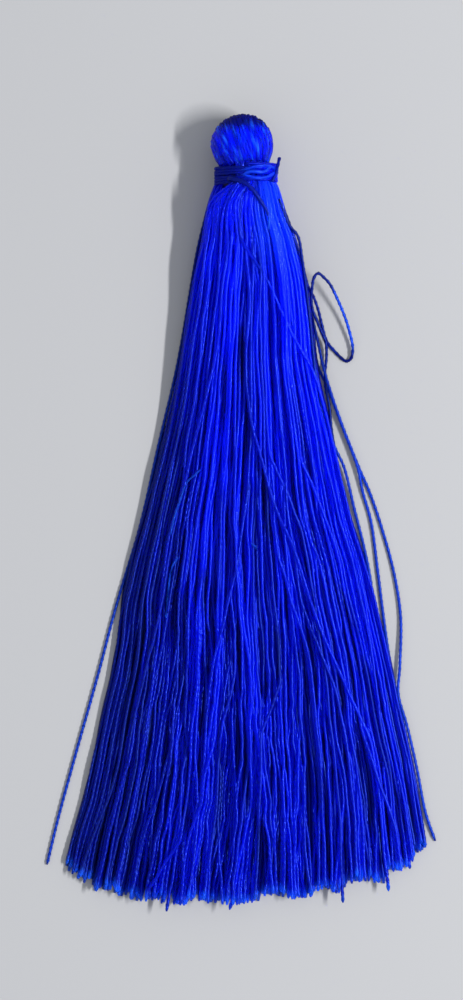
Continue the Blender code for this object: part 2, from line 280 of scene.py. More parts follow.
# %% [markdown]
# ## Where each thread stands in the bundle
#
# Each thread keeps roughly one place in the bundle all the way down: so far across, so far up. A
# golden-ratio lattice gives every thread its own place and spreads them evenly however the bundle
# is flattened, where plain random places would leave holes and knots.

# %% Places in the bundle
SKIRT_THREADS, UNDERSIDE_THREADS = 190, 96
ROUND_SHARE = 0.65  # of the spread that goes by an ellipse's area; the rest is even
EDGE_FULLNESS = 0.965  # share of its half width at which the heap ends in a low edge


def bundle_places(count):
    """Across from -1 to 1 and up from 0 to 1. The share of the threads to one side grows mostly as
    an ellipse's area does, so that the thick middle holds more of them than the thin edges."""
    number = np.arange(count)
    across = np.linspace(-1, 1, 401)
    area = 0.5 + (across * np.sqrt(1 - across**2) + np.arcsin(across)) / math.pi
    area = ROUND_SHARE * area + (1 - ROUND_SHARE) * (across + 1) / 2
    return np.interp((number * GOLDEN) % 1.0, area, across), (number + 0.5) / count


across, up = bundle_places(SKIRT_THREADS)
underside = np.linspace(-1, 1, UNDERSIDE_THREADS)
print(SKIRT_THREADS, "threads, middle place", across.mean().round(3), up.mean().round(3))

# %% [markdown]
# ## Drift and bunching
#
# Real threads don't keep their places exactly. Each drifts slowly to one side and back, so that
# threads cross at small angles, and neighbours cling together in bunches with dark gaps between
# them. Drift is a sum of a few long waves for each thread. Bunching is one pattern for all: their
# places are pushed towards the middles of waves that lie across the skirt and wander on the way.

# %% Drift and bunches
BUNDLE_HALF = 13.0  # millimetres across that one unit of place stands for, at mid length
DRIFT_LENGTHS = np.array([21.0, 43.0, 85.0])
DRIFT_STRETCH = (0.8, 1.25)
DRIFT_SIZES = np.array([0.02, 0.18, 0.50])  # sideways, in millimetres
RISE_SIZES = np.array([0.00, 0.03, 0.07])  # up and down, in shares of the bundle's height
BUNCH_LENGTHS, BUNCH_DEPTH = (1.70, 2.90, 4.90), 0.42
BUNCH_WANDER = 0.20  # radians by which a wave wanders from station to station
BUNCH_LEAN = 9.0  # and by which it has moved on at the top of the bundle
LOOSE_BY = 45.0  # length below the tie in which the threads come loose
LEAST_HEIGHT = 0.1


def drift(sizes):
    """A sum of waves down each thread, of random phase and a little random length."""
    phase = chance.uniform(0, TURN, (SKIRT_THREADS, 1, 3))
    length = DRIFT_LENGTHS * chance.uniform(*DRIFT_STRETCH, phase.shape)
    return (np.sin(TURN * stations[:, None] / length + phase) * sizes).sum(axis=2)


def bunching(place, height):
    """The shift towards the nearest bunch: for each wave, minus its depth x length / a turn x sine
    of the place on it. The place moves on with height and wanders down the skirt."""
    shift = np.zeros(place.shape)
    for length in BUNCH_LENGTHS:
        wander = np.cumsum(chance.normal(0, BUNCH_WANDER, len(stations))) + chance.uniform(0, TURN)
        wave = TURN * place / length + wander + BUNCH_LEAN * height
        shift -= BUNCH_DEPTH * length / TURN * np.sin(wave)
    return shift


opened = np.clip((SKIRT[1, 0] - stations) / LOOSE_BY, 0, 1)
# The edges and the lowest third are held by the others, so they move less.
loose = (1 - across[:, None] ** 4) * (0.25 + 0.75 * np.clip(up[:, None] * 3, 0, 1))
wandered = across[:, None] * BUNDLE_HALF + drift(DRIFT_SIZES) * opened * loose
bunched = bunching(wandered, up[:, None]) * (0.35 + 0.65 * opened) * loose
place = (wandered + bunched) / BUNDLE_HALF
rise = drift(RISE_SIZES) * opened
height = np.clip(LEAST_HEIGHT + (1 - LEAST_HEIGHT) * up[:, None] + rise, LEAST_HEIGHT, 1.0)
print("largest shift", np.abs(place - across[:, None]).max().round(3))

# %% [markdown]
# ## Threads that lie across the others
#
# A few threads on top don't follow the fan. They set off to one side and cross their neighbours,
# and the eye finds them at once. Each is given as a route of places across and along, and a thread
# from the top of the bundle takes it. Beyond its route it keeps its place in the fan.

# %% Routes of the crossing threads
CROSSING_ROUTES = (
    ((-2.9, -24.9), (-4.0, -30.2), (-5.1, -34.8), (-6.6, -40.7), (-8.0, -46.0), (-8.7, -48.5)),
    ((0.6, -30.8), (1.4, -36.4), (2.7, -40.9), (4.2, -46.0), (6.4, -51.1), (9.3, -59.7),
     (12.5, -67.4), (16.3, -75.3)),
    ((1.2, -37.1), (0.6, -44.4), (0.0, -48.5), (-0.8, -54.3), (-1.8, -58.4), (-3.3, -64.6),
     (-4.4, -72.5)),
    ((3.4, -39.3), (4.4, -41.9), (5.7, -44.3), (6.8, -47.1), (7.7, -49.2)),
    ((4.9, -68.1), (4.2, -69.9), (3.6, -71.6), (2.3, -75.1)),
    ((-3.4, -74.7), (-4.7, -79.7), (-5.2, -83.3), (-6.3, -86.5), (-7.1, -90.2)),
    ((-7.8, -88.1), (-9.5, -90.8), (-10.7, -92.8), (-12.0, -94.7)),
    ((4.5, -51.9), (5.4, -54.7), (6.3, -58.2), (7.1, -60.7), (8.1, -63.6), (8.8, -66.7)),
    ((8.6, -50.3), (9.5, -52.4), (10.4, -55.8), (11.1, -59.3), (11.9, -62.4), (12.4, -64.8)),
    ((7.3, -57.6), (8.6, -61.1), (9.5, -63.1), (11.0, -67.2), (12.0, -70.2), (13.0, -74.6)),
    ((-0.1, -11.9), (1.6, -15.2), (4.2, -19.9), (6.2, -24.4), (8.6, -28.5), (11.1, -35.1)),
    ((-15.7, -79.0), (-17.2, -83.7), (-19.0, -88.6), (-20.2, -91.9)),
    ((15.3, -74.7), (17.4, -81.2), (19.2, -86.1), (19.8, -89.1)),
    ((7.3, -39.9), (8.5, -42.7), (9.6, -45.6), (10.7, -48.4), (11.7, -51.1)),
)
TAKEN_FROM = 5 * len(CROSSING_ROUTES)  # the uppermost threads, of which one takes each route


def share_across(x, room):
    """Places across the skirt as shares of its width, from -1 on the left to 1 on the right."""
    return 2 * (x - room["left"]) / (room["right"] - room["left"]) - 1


def take_route(route):
    """Places across, at the stations, of a thread on this route. The route's own are turned into
    shares of the skirt's width, joined smoothly, and kept beyond its two ends."""
    x, y = np.array(route).T
    where = np.interp(-stations, -y, np.arange(len(route)))
    shares = share_across(x, skirt_room(y))[None, :, None]
    return through(shares, where[None])[0, :, 0]


free = list(np.argsort(-up)[:TAKEN_FROM])
for route in CROSSING_ROUTES:
    wanted = take_route(route)
    nearest = min(free, key=lambda thread: abs(across[thread] - wanted.mean()))
    free.remove(nearest)
    place[nearest] = wanted
    height[nearest] = 1.0
print("crossing threads", TAKEN_FROM - len(free))

# %% [markdown]
# ## Room for every thread
#
# Two threads can't be in one place. At each station along the skirt, every pair that is closer
# than a thread's width pushes itself apart, and the pushes are smoothed along each thread, since
# it can't bend sharply. Some dozens of rounds settle it. A physics engine could do the same with
# rope links, but at a hundred times the cost. The underside would have holes if it were left to
# chance, so there the threads lie side by side, in two layers, and the others settle on them.

# %% Push apart and settle
ROUNDS, QUICK_ROUNDS = 46, 4
SMOOTHINGS = 3
FOLLOWED = 0.6  # share of a push that a thread follows in each round
HOLD = 0.03  # share of the way back to its own place that it then goes
PRESSED = 0.80  # share of the spacing that is left where the tie presses the threads
LAYER_STEP = 0.05  # how far the underside's second layer is up, as a share of the height


def bundle_section(place, room):
    """Underside and height of the bundle at places across it. The height falls to the edges as the
    root of one minus the place squared. Where it is round, the underside rises by half of that."""
    full = np.sqrt(1 - (EDGE_FULLNESS * np.clip(place, -1, 1)) ** 2)
    return room["lift"] + room["round"] * room["crown"] / 2 * (1 - full), room["crown"] * full


def skirt_places(place, height):
    """Points (thread, station) in the bundle's room, by share of its width and of its height."""
    under, full = bundle_section(place, room)
    x = room["left"] + (room["right"] - room["left"]) * (1 + place) / 2
    return x, under + full * height + THREAD_RADIUS / 2


def pushed(x, z, spacing):
    """How far each thread is pushed, sideways and up, by all that are too near: half of what is
    missing from the spacing, along the line between the two."""
    sideways = x.T[:, :, None] - x.T[:, None, :]
    upwards = z.T[:, :, None] - z.T[:, None, :]
    apart = np.sqrt(sideways**2 + upwards**2) + 1e-6
    wanted = spacing[:, None, None]
    push = np.where(apart < wanted, wanted / apart - 1, 0) / 2
    return (sideways * push).sum(axis=2).T, (upwards * push).sum(axis=2).T


def smoothed(values):
    """Each station's value drawn towards the mean of its two neighbours, a few times over."""
    for _ in range(SMOOTHINGS):
        mean = (np.roll(values, 1, axis=1) + np.roll(values, -1, axis=1)) / 2
        mean[:, 0] = values[:, 0]
        mean[:, -1] = values[:, -2]
        values = values + 0.5 * (mean - values)
    return values


def settle(x, z, rounds):
    """The same threads with room for each. Those of the underside don't move."""
    moving = (np.arange(len(x)) < SKIRT_THREADS)[:, None]
    spacing = THREAD_SPACING * (PRESSED + (1 - PRESSED) * np.clip(opened * 5, 0, 1))
    floor = room["lift"] * 0.8 + THREAD_RADIUS
    home_x, home_z, spacing, floor, left, right = map(
        np.float32, (x, z, spacing, floor, room["left"], room["right"])
    )
    x, z = home_x, home_z
    for _ in range(rounds):
        sideways, upwards = pushed(x, z, spacing)
        x = home_x + moving * smoothed((x + FOLLOWED * sideways - home_x) * (1 - HOLD))
        z = home_z + moving * smoothed((z + FOLLOWED * upwards - home_z) * (1 - HOLD))
        x, z = np.clip(x, left, right), np.maximum(z, floor)
    return x, z


def with_underside(values, under):
    """Values (thread, station) and, below them, one for each thread of the underside."""
    return np.concatenate([values, np.repeat(under[:, None], len(stations), axis=1)])


layers = LAYER_STEP * (np.arange(UNDERSIDE_THREADS) % 2)
start = skirt_places(with_underside(place, underside), with_underside(height, layers))
skirt_x, skirt_z = settle(*start, ROUNDS)
left_over, _ = pushed(skirt_x, skirt_z, np.full(len(stations), THREAD_SPACING, np.float32))
print("push left over", np.abs(left_over).mean().round(3), "top", skirt_z.max(axis=0)[::12])

# %% [markdown]
# ## Clefts
#
# Where bunches of threads part, a dark cleft opens and closes again further down. Each is a route
# down the skirt. The nearer a thread runs to one, the lower it lies, and the more painted shade
# darkens it.

# %% Routes of the clefts
CLEFT_HALF, CLEFT_DEPTH = 0.56, 0.45
# Painted shade: the share of the tone that is taken away in a cleft.
CLEFT_SHADE = 0.60  # share of the tone that is lost in it
CLEFT_PAST, CLEFT_WITHIN = 1.0, 2.5  # how far past an end it starts, and within it is full
CLEFT_ROUTES = (
    ((-0.3, -23.1), (0.3, -31.3), (0.7, -36.4), (0.5, -40.4)),
    ((-2.3, -26.5), (-2.3, -31.3), (-2.3, -36.1)),
    ((1.3, -42.4), (1.6, -50.3), (2.0, -57.2), (2.6, -64.1), (3.2, -71.0)),
    ((1.9, -39.5), (2.9, -45.2), (3.5, -50.9)),
    ((5.9, -30.1), (7.3, -36.4), (9.0, -43.2)),
    ((-2.4, -43.3), (-2.9, -50.3), (-3.4, -55.3), (-4.0, -61.6), (-4.7, -67.9), (-4.9, -74.9)),
    ((-5.1, -53.4), (-4.7, -60.4)),
    ((-7.7, -48.4), (-8.7, -55.9), (-8.8, -62.9)),
    ((-7.6, -56.6), (-7.3, -67.9), (-7.1, -75.5), (-6.9, -80.6), (-7.3, -87.5)),
    ((-2.8, -75.5), (-2.8, -83.7), (-3.5, -89.4)),
    ((0.4, -73.6), (0.6, -80.6), (1.0, -86.2)),
    ((4.4, -61.0), (4.9, -67.9)),
    ((7.2, -62.9), (8.0, -67.9), (8.6, -74.2), (9.5, -79.9), (10.0, -85.0)),
    ((11.9, -66.0), (13.0, -72.3)),
    ((14.1, -74.2), (15.2, -80.6), (16.5, -87.5)),
    ((14.8, -64.1), (16.8, -71.7), (18.1, -77.4), (19.9, -83.7), (21.0, -88.8)),
    ((11.9, -55.3), (14.4, -62.2)),
    ((-13.4, -61.0), (-14.3, -67.9), (-15.9, -76.1)),
    ((-12.1, -76.8), (-13.5, -85.0), (-14.9, -91.7)),
    ((2.1, -85.6), (2.5, -92.6)),
    ((4.3, -88.1), (4.4, -93.8)),
)


def eased(value, low, high):
    """0 up to low, 1 from high, and three squares less two cubes of the share between them."""
    share = np.clip((value - low) / (high - low), 0, 1)
    return share**2 * (3 - 2 * share)


def in_cleft(x, y):
    """How far each place is in a cleft: a bell of the distance across, faded over its two ends."""
    depth = np.zeros(np.broadcast(x, y).shape)
    for route in CLEFT_ROUTES:
        across_route, along_route = np.array(route)[::-1].T
        low, high = along_route[[0, -1]]
        fade = eased(y, low - CLEFT_PAST, low + CLEFT_WITHIN)
        fade = fade * eased(-y, -high - CLEFT_PAST, -high + CLEFT_WITHIN)
        middle = np.interp(y, along_route, across_route)
        depth = np.maximum(depth, fade * np.exp(-(((x - middle) / CLEFT_HALF) ** 2)))
    return depth


print(len(CLEFT_ROUTES), "clefts")

# %% [markdown]
# ## The fan below the tie
#
# The threads that lie uppermost on the left come out from under the knot in one narrow place and
# spread from there like a fan, over the threads below them. So their places near the tie are drawn
# together, and they lie on the top of the bundle.

# %% The fan
FAN_MIDDLE, FAN_MOUTH = 0.30, 2.0  # where across the skirt it comes out, and how wide
FAN_START, FAN_OPEN = -5.2, -8.3  # along the skirt: drawn together above, free below
FAN_SPREAD = 0.30  # how far its threads differ in where they start
FAN_FALL, FAN_SWELL = 1.7, 0.45  # power by which it opens, and height above the bundle
FAN_WAVES = ((0.08, 8.0, 0.0), (0.24, 17.0, TURN))  # least and most of size, length and phase
fan_opening = place[:, 6:9].mean(axis=1)  # some 10 mm below the tie
fan_mouth = FAN_MIDDLE + FAN_MOUTH * (fan_opening + 0.5)
fan_mouth += chance.normal(0, FAN_SPREAD, SKIRT_THREADS)
fan_wave = chance.uniform(*FAN_WAVES, (SKIRT_THREADS, 3))
fan_start = FAN_START + chance.normal(0, FAN_SPREAD, SKIRT_THREADS)
fan_member = eased(up, 0.62, 0.74) * eased(-fan_opening, -0.30, -0.12)
print("threads in the fan", int((fan_member > 0.5).sum()))


def fanned(threads, x, along, z):
    """Places of these threads with the fan drawn together. Each goes towards its mouth by a weight
    that falls as a power of the way down, and up to the top of the bundle."""
    member = fan_member[threads, None]
    start = fan_start[threads, None]
    weight = member * np.clip((along - FAN_OPEN) / (start - FAN_OPEN), 0, 1) ** FAN_FALL
    x = x + weight * (fan_mouth[threads, None] - x)
    room = skirt_room(along)
    under, full = bundle_section(share_across(x, room), room)
    top = under + full + FAN_SWELL * eased(along, -13.0, -7.0)
    lying = member * eased(along, -18.0, -9.0)
    size, length, phase = fan_wave[threads].T[..., None]
    waving = eased(-along, 5.0, 9.0) * eased(along, -30.0, -14.0)
    x = x + member * size * np.sin(TURN * along / length + phase) * waving
    return x, z + lying * (top - 1.4 * (1 - up[threads, None]) - z)


# %% [markdown]
# ## The cut end
#
# The skirt is trimmed with one cut of the scissors, so its hem is a shallow curve, but the threads
# slip as they are cut and let go. Each ends a little short of the line, and a few pass it.

# %% The hem
HEM = np.array([
    (-24.5, -89.5), (-22.6, -91.5), (-21.6, -92.5), (-20.7, -93.4), (-19.3, -93.8), (-17.9, -94.9),
    (-16.4, -94.6), (-14.9, -95.3), (-12.7, -96.0), (-10.6, -95.7), (-9.3, -96.2), (-7.6, -96.6),
    (-5.3, -95.7), (-3.8, -96.2), (-0.4, -96.4), (2.5, -96.0), (3.7, -95.1), (5.6, -95.7),
    (8.7, -95.6), (10.0, -94.4), (12.2, -95.0), (14.3, -93.6), (16.0, -93.5), (17.8, -94.0),
    (18.7, -92.3), (20.2, -92.1), (21.4, -92.0), (21.9, -90.6), (23.5, -89.3), (24.6, -88.6),
])
SHORTFALL = 0.9
LONG_ENDS = ((-7.6, -97.1), (12.75, -96.0), (17.9, -94.6), (-0.4, -96.9))
at_hem = skirt_x[:, -5]
ends = SHORTFALL * chance.uniform(0, 1, len(at_hem)) ** 1.5 + np.interp(at_hem, *HEM.T)
for where, end in LONG_ENDS:
    ends[np.argmin(np.abs(at_hem[:SKIRT_THREADS] - where) + 3 * (1 - up))] = end
print("hem from", ends.min().round(2), "to", ends.max().round(2))

# %% [markdown]
# ## Making the skirt
#
# Between stations the path is a smooth curve again. Small waves are added to it last: they are
# the crimp that thread keeps from being wound up. The threads are split into pieces from left to
# right, because one mesh of them all would be too heavy, and the hidden ones of the underside
# have fewer faces. The skirt has painted shade: darkest on its left flank, which is turned away
# from the light, and darker in clefts and towards the hem. The right of the shoulder has a
# painted sheen, where the light falls full on it.

# %% Paths of the skirt's threads
RING_STEP, HIDDEN_STEP = PLY_PITCH / 6, PLY_PITCH / 2
CRIMP_LENGTHS = np.array([5.5, 9.0, 15.0])[:, None]
CRIMP_SIZES = np.array([0.012, 0.030, 0.060])[:, None]
SKIRT_TOP, SKIRT_LENGTH = -2.6, 93
LOWEST = 0.28  # for a thread's middle
TONE_SPREAD = 0.08
# Painted shade across the skirt: the tone falls towards the left flank, turned away from the light.
PAINTED_SHADE_ACROSS = ((0.0, 0.12, 0.26, 0.50, 1.0), (0.0, 0.05, 0.90, 0.94, 0.82))  # from left to right
LEFT_FADE = ((-45, -8), (1.0, 0.1))  # how far those count, along the skirt
# Painted shade along the skirt: the tone falls towards the hem.
PAINTED_SHADE_ALONG = ((-95, -62, -10), (0.42, 0.60, 1.02))
# Painted sheen: the right of the shoulder is painted paler, where the light falls full on it.
PAINTED_SHEEN = 0.24  # how far the right of the shoulder is paler
NECK_SIZE = ((-12, -6), (1.0, 0.86))  # thickness near the tie
SPLAY = ((0.0, 0.25, 0.9, 2.2), (0.55, 1.08, 1.12, 1.0))  # and near the cut end
# Length at each cut end that gets a painted highlight, and the size of the hidden threads.
END_HIGHLIGHT, HIDDEN_SIZE = 1.3, 1.15


def thread_paths(threads, step):
    """Rings of these threads, evenly from under the tie to each one's end, and their shares of the
    way."""
    share = np.linspace(0, 1, int((SKIRT_TOP - ends[threads].mean()) / step))
    along = SKIRT_TOP + (ends[threads][:, None] - SKIRT_TOP) * share
    knots = np.stack([skirt_x[threads], skirt_z[threads]], axis=2).astype(float)
    flat = through(knots, (stations[0] - along) / STATION)
    if threads.max() < SKIRT_THREADS:
        flat = np.stack(fanned(threads, flat[..., 0], along, flat[..., 1]), axis=2)
    phase = chance.uniform(0, TURN, (len(threads), 1, 3, 2))
    waves = np.sin(TURN * along[..., None, None] / CRIMP_LENGTHS + phase) * CRIMP_SIZES
    loose = np.clip((SKIRT_TOP - along) / 25 - 0.12, 0, 1)[..., None]
    flat = flat + waves.sum(axis=2) * loose * (1, 0.6)
    rise = flat[..., 1] - CLEFT_DEPTH * in_cleft(flat[..., 0], along)
    return np.stack([flat[..., 0], along, np.maximum(rise, LOWEST)], axis=2), share


def shade_of(paths):
    """Painted shade at places on the skirt: tone less towards the left, in clefts and further down.
    """
    x, y = paths[..., 0], paths[..., 1]
    room = skirt_room(y)
    share = (x - room["left"]) / (room["right"] - room["left"])
    painted_flank_shade = (1 - np.interp(share, *PAINTED_SHADE_ACROSS)) * np.interp(y, *LEFT_FADE)
    return (1 - painted_flank_shade) * np.interp(y, *PAINTED_SHADE_ALONG) * (1 - CLEFT_SHADE * in_cleft(x, y))


def skirt_piece(name, threads, step, twisted=True, thickness=1.0):
    """One piece of the skirt. Its threads are full size below the shoulder and taper at the end."""
    paths, share = thread_paths(threads, step)
    from_end = (1 - share) * SKIRT_LENGTH
    size = thickness * np.interp(paths[..., 1], *NECK_SIZE) * np.interp(from_end, *SPLAY)
    # Tone: a random spread for each thread, plus the painted shade of shade_of.
    tone = chance.normal(0, TONE_SPREAD, (len(threads), 1)) + shade_of(paths)
    # Paleness: a painted highlight on the cut end, and the painted sheen on the right of the
    # shoulder.
    tip = np.clip(1 - from_end / END_HIGHLIGHT, 0, 1) * chance.uniform(0.2, 1.0, (len(threads), 1))
    tip = tip + PAINTED_SHEEN * eased(paths[..., 0], 0.8, 3.0) * eased(paths[..., 1], -19.0, -9.0)
    return thread_piece(name, paths, (0, 0, 1), tone, size, tip, twisted=twisted)


shown = np.array_split(np.argsort(at_hem[:SKIRT_THREADS]), 5)
hidden = np.arange(SKIRT_THREADS, len(at_hem))
skirt = [
    skirt_piece("skirt_" + where, threads, RING_STEP)
    for where, threads in zip(("left", "left_middle", "middle", "right_middle", "right"), shown)
]
skirt.append(skirt_piece("skirt_underside", hidden, HIDDEN_STEP, False, HIDDEN_SIZE))

# %% [markdown]
# ## Strays
#
# A few threads have left the bundle. They lie on the surface beside it, and one has sprung into an
# open loop. The solids have them too, so they go through the same places. Their tone is low, a
# painted shade, and lowest beside the shoulder, where they lie in the skirt's shade. The loop has a
# painted highlight on its right, where it is turned to the light.

# %% Stray threads
STRAYS = (
    ((-3.9, -7.4, 3.3), (-5.6, -13.6, 2.2), (-8.05, -27.5, 0.5), (-10.5, -38.0), (-12.9, -48.5),
     (-15.9, -58.5), (-18.2, -67.2), (-20.9, -76.8), (-23.2, -85.2), (-24.7, -91.4)),
    ((4.72, -7.4, 2.5), (7.0, -13.6, 1.6), (8.75, -20.5, 0.45), (9.45, -27.5), (10.9, -31.0),
     (13.0, -36.6), (14.9, -41.3), (16.2, -44.3), (17.6, -48.4), (19.2, -54.2), (20.1, -60.0, 0.3),
     (20.0, -66.0, 0.55), (19.8, -69.8, 0.55), (20.9, -73.8, 0.55), (22.1, -79.0, 0.55),
     (23.2, -84.6, 0.4), (24.5, -88.4)),
    ((4.82, -7.4, 3.3), (7.05, -13.6, 2.5), (8.5, -20.5, 1.2), (9.6, -25.2, 1.1),
     (10.4, -28.8, 1.05), (11.6, -32.7, 0.9), (13.0, -36.6, 0.62), (14.6, -40.9, 0.62),
     (15.3, -44.2, 0.3), (16.4, -48.2), (17.2, -54.2), (18.0, -60.5), (18.9, -66.4), (20.9, -75.6),
     (21.7, -79.7), (22.7, -85.2), (23.2, -88.6)),
    ((4.65, -7.4, 5.0), (5.75, -10.4, 4.4), (7.05, -12.1, 4.0), (7.55, -14.8, 3.7),
     (7.95, -17.6, 3.4), (8.5, -22.0, 3.0), (9.7, -32.0, 1.6), (11.6, -38.1, 0.9),
     (13.0, -41.3, 0.7), (14.2, -46.2, 0.4), (15.3, -50.5), (16.1, -54.2), (16.8, -58.5),
     (18.4, -66.4), (20.4, -75.6), (22.2, -85.2), (22.8, -88.8)),
)
SNARL = (
    (4.78, -7.4, 4.2), (6.95, -13.6, 3.4), (8.3, -18.1, 2.4), (9.0, -19.4, 1.5), (9.6, -21.0, 1.0),
    (10.1, -22.9, 0.45), (10.7, -25.0), (11.7, -26.3), (12.8, -27.4), (13.4, -27.6),
    (13.9, -27.1, 0.35), (14.0, -25.6, 0.6), (13.4, -23.2, 1.0), (12.8, -21.5, 1.3),
    (12.1, -19.9, 1.65), (11.2, -18.1, 2.1), (10.4, -17.2, 2.4), (9.6, -16.6, 2.65),
    (9.05, -17.2, 2.8), (8.85, -18.3, 2.8), (8.75, -19.9, 2.45), (8.95, -21.3, 2.05),
    (9.45, -22.5, 1.65), (10.0, -23.8, 1.25), (10.6, -25.2, 0.85), (10.7, -27.0, 0.6),
    (10.5, -29.3, 0.55), (10.6, -31.0, 0.55), (11.1, -33.6, 0.35), (11.6, -38.0), (13.9, -50.5),
    (17.9, -66.4), (19.9, -75.6), (22.1, -89.6),
)
STRAY_LENGTH, SNARL_LENGTH = 92, 120
# Painted light on the strays: a low tone, which is painted shade, and a painted highlight where in
# full light.
STRAY_TONE, LOOP_TONE = 0.22, 0.38  # tone and paleness in full light
stray_rings = int(STRAY_LENGTH / RING_STEP)
stray_paths = np.stack([evenly(route, stray_rings) for route in STRAYS])
snarl_path = evenly(SNARL, int(SNARL_LENGTH / RING_STEP))[None]
end_taper = np.clip(0.5 + (1 - np.linspace(0, 1, stray_rings)) * 90, 0, 1)
# Painted shade beside the shoulder, fading to the strays' low tone and painted highlight further
# down.
stray_light = STRAY_TONE * eased(-stray_paths[..., 1], 20.0, 40.0)
x, y = snarl_path[..., 0], snarl_path[..., 1]
# Painted highlight on the right of the loop, turned to the light; elsewhere the loop is painted
# dark.
loop_light = eased(x, 10.8, 12.0) * eased(-y, 17.8, 19.4) * (1 - eased(-y, 25.0, 27.0))
loop_light = LOOP_TONE * loop_light
strays = [
    thread_piece("stray_threads", stray_paths, (0, 0, 1), stray_light, end_taper, stray_light),
    thread_piece("looped_stray", snarl_path, (0, 0, 1), loop_light, 1.0, loop_light),
]

# %% [markdown]
# Three ends have sprung up out of the skirt and lie across it. Each is a route over the skirt,
# laid on the highest thread that it passes.

# %% Loose ends
LOOSE_ENDS = (
    ((-5.25, -41.4), (-6.1, -42.2), (-6.9, -42.9), (-7.35, -43.9), (-7.8, -45.3), (-8.4, -47.0),
     (-9.0, -49.5)),
    ((-8.05, -52.4), (-8.7, -53.4), (-9.05, -54.6), (-9.2, -55.8), (-9.4, -57.6), (-9.6, -60.0)),
    ((1.15, -50.7), (1.35, -50.8), (1.6, -51.0), (1.85, -51.4)),
)
LOOSE_REACH, LOOSE_RINGS, LOOSE_SIZE, LOOSE_PALE = 0.4, 60, 0.6, 0.6


def laid_on(route):
    """Points of a route over the skirt, each as high as the highest thread within reach."""
    x, y = np.array(route).T
    near = np.clip(np.round((stations[0] - y) / STATION).astype(int), 0, len(stations) - 1)
    beside = np.abs(skirt_x[:, near] - x) < LOOSE_REACH
    top = np.where(beside, skirt_z[:, near], 0).max(axis=0)
    return np.stack([x, y, top + THREAD_RADIUS], axis=1)


loose_paths = np.stack([evenly(laid_on(route), LOOSE_RINGS) for route in LOOSE_ENDS])
strays.append(
    thread_piece("loose_ends", loose_paths, (0, 0, 1), 1.0, LOOSE_SIZE, LOOSE_PALE, dull=0.0)
)

# %% [markdown]
# ## The head
#
# The head is the fold of the hank: every thread comes up from the neck at the front, over the
# crown and down to the neck at the back. Over the crown the threads lie side by side, each in its
# own upright plane. Below the widest place they draw in to the round neck. The fold leans a little
# to the left. Some threads lie over the others at a slant. Their shine is painted in as pale
# streaks, a painted highlight of a tight thread that catches the light in short runs, and the crown
# and the sides have painted shade, where they turn away from the light.

# %% Threads over the head
HEAD_MIDDLE = np.array([0.0, -0.40, 3.78])
HEAD_HALF = np.array([3.72, 3.52, 3.52])
HEAD_LEAN = math.radians(13)
NECK_DEPTH = 3.3  # how far below the widest place the threads are followed
NECK_DRAW, DRAWN_AT, DRAW_POWER = 0.195, 2.4, 2.2  # the share they have drawn in, and where
LOWER_SAMPLES, CROWN_SAMPLES = 12, 44


def over_head(turn, lift):
    """Paths of threads over the head. A thread's turn says where on the widest ring it stands.
    Below that ring it keeps the turn while the ring draws in. Above, it goes round where x = sine
    of turn, y = cosine of turn x sine of the way round, and z = cosine of turn x cosine of the way
    round, in half widths of the head."""
    x, depth = np.sin(turn)[:, None], np.cos(turn)[:, None]
    below = np.linspace(-NECK_DEPTH, 0, LOWER_SAMPLES, endpoint=False)[None]
    ring = 1 - NECK_DRAW * (np.abs(below) / DRAWN_AT) ** DRAW_POWER
    fall = np.repeat(below / HEAD_HALF[1], len(turn), axis=0)
    front = np.stack([x * ring, fall, depth * ring], axis=2)
    way = np.linspace(0, math.pi, CROWN_SAMPLES)[None]
    level = np.repeat(x, CROWN_SAMPLES, axis=1)
    crown = np.stack([level, depth * np.sin(way), depth * np.cos(way)], axis=2)
    ball = np.concatenate([front, crown, front[:, ::-1] * (1, 1, -1)], axis=1)
    return ball * (HEAD_HALF + lift[:, None, None])


def leaned(points, angle=HEAD_LEAN):
    """The points turned to the left about the upright line through the head's middle."""
    c, s = np.cos(angle), np.sin(angle)
    x = points[..., 0] * c - points[..., 1] * s
    y = points[..., 0] * s + points[..., 1] * c
    return np.stack([x, y, points[..., 2]], axis=-1)


HEAD_STRANDS, HEAD_OVER = 48, 26  # side by side, and over those at a slant
OVER_LEAN = math.radians(6)
HEAD_SWAY, HEAD_SIZE, HEAD_RINGS = 0.14, 0.9, 65
HEAD_TONE = (0.70, 0.20)  # middle and spread
# Painted shade: the tone falls to dark over the crown and at the sides of the head.
CROWN_SHADE = ((0.9, 1.9), (1.0, 0.0))  # along the head
HEAD_SIDE_SHADE = ((-3.6, -2.4, 1.0, 3.0), (0.95, 1.0, 1.0, 0.80))  # and across it
# Painted highlights: pale streaks along the threads of the head, where a tight thread catches the
# light.
HEAD_STREAKS = 5  # paler places along each thread of the head
STREAK_HIGHLIGHT, STREAK_BELOW = 0.9, 0.2  # the palest, and the share of it on the threads below
STREAK_END = ((1.6, 2.4), (1.0, 0.0))

turns = np.concatenate([
    np.linspace(-1.47, 1.47, HEAD_STRANDS) + chance.normal(0, 0.010, HEAD_STRANDS),
    np.linspace(-1.3, 1.3, HEAD_OVER) + chance.normal(0, 0.04, HEAD_OVER),
])
lifts = chance.uniform(-0.02, 0.02, HEAD_STRANDS), chance.uniform(0.03, 0.07, HEAD_OVER)
ball = over_head(turns, np.concatenate(lifts))
samples = ball.shape[1]
sway = np.sin(np.linspace(0, 2.2 * math.pi, samples) + chance.uniform(0, TURN, (len(turns), 1)))
ball[..., 0] += HEAD_SWAY * sway * np.cos(turns[:, None]) ** 2
slant = chance.normal(OVER_LEAN, OVER_LEAN / 2, (HEAD_OVER, 1))
ball[HEAD_STRANDS:] = leaned(ball[HEAD_STRANDS:], slant)
head_paths = through(ball, np.linspace([0] * len(turns), samples - 1, HEAD_RINGS, axis=1))
outward = head_paths.copy()
outward[..., 1] = np.maximum(outward[..., 1], 0)
upward = leaned(unit(outward))
head_paths = leaned(head_paths) + HEAD_MIDDLE
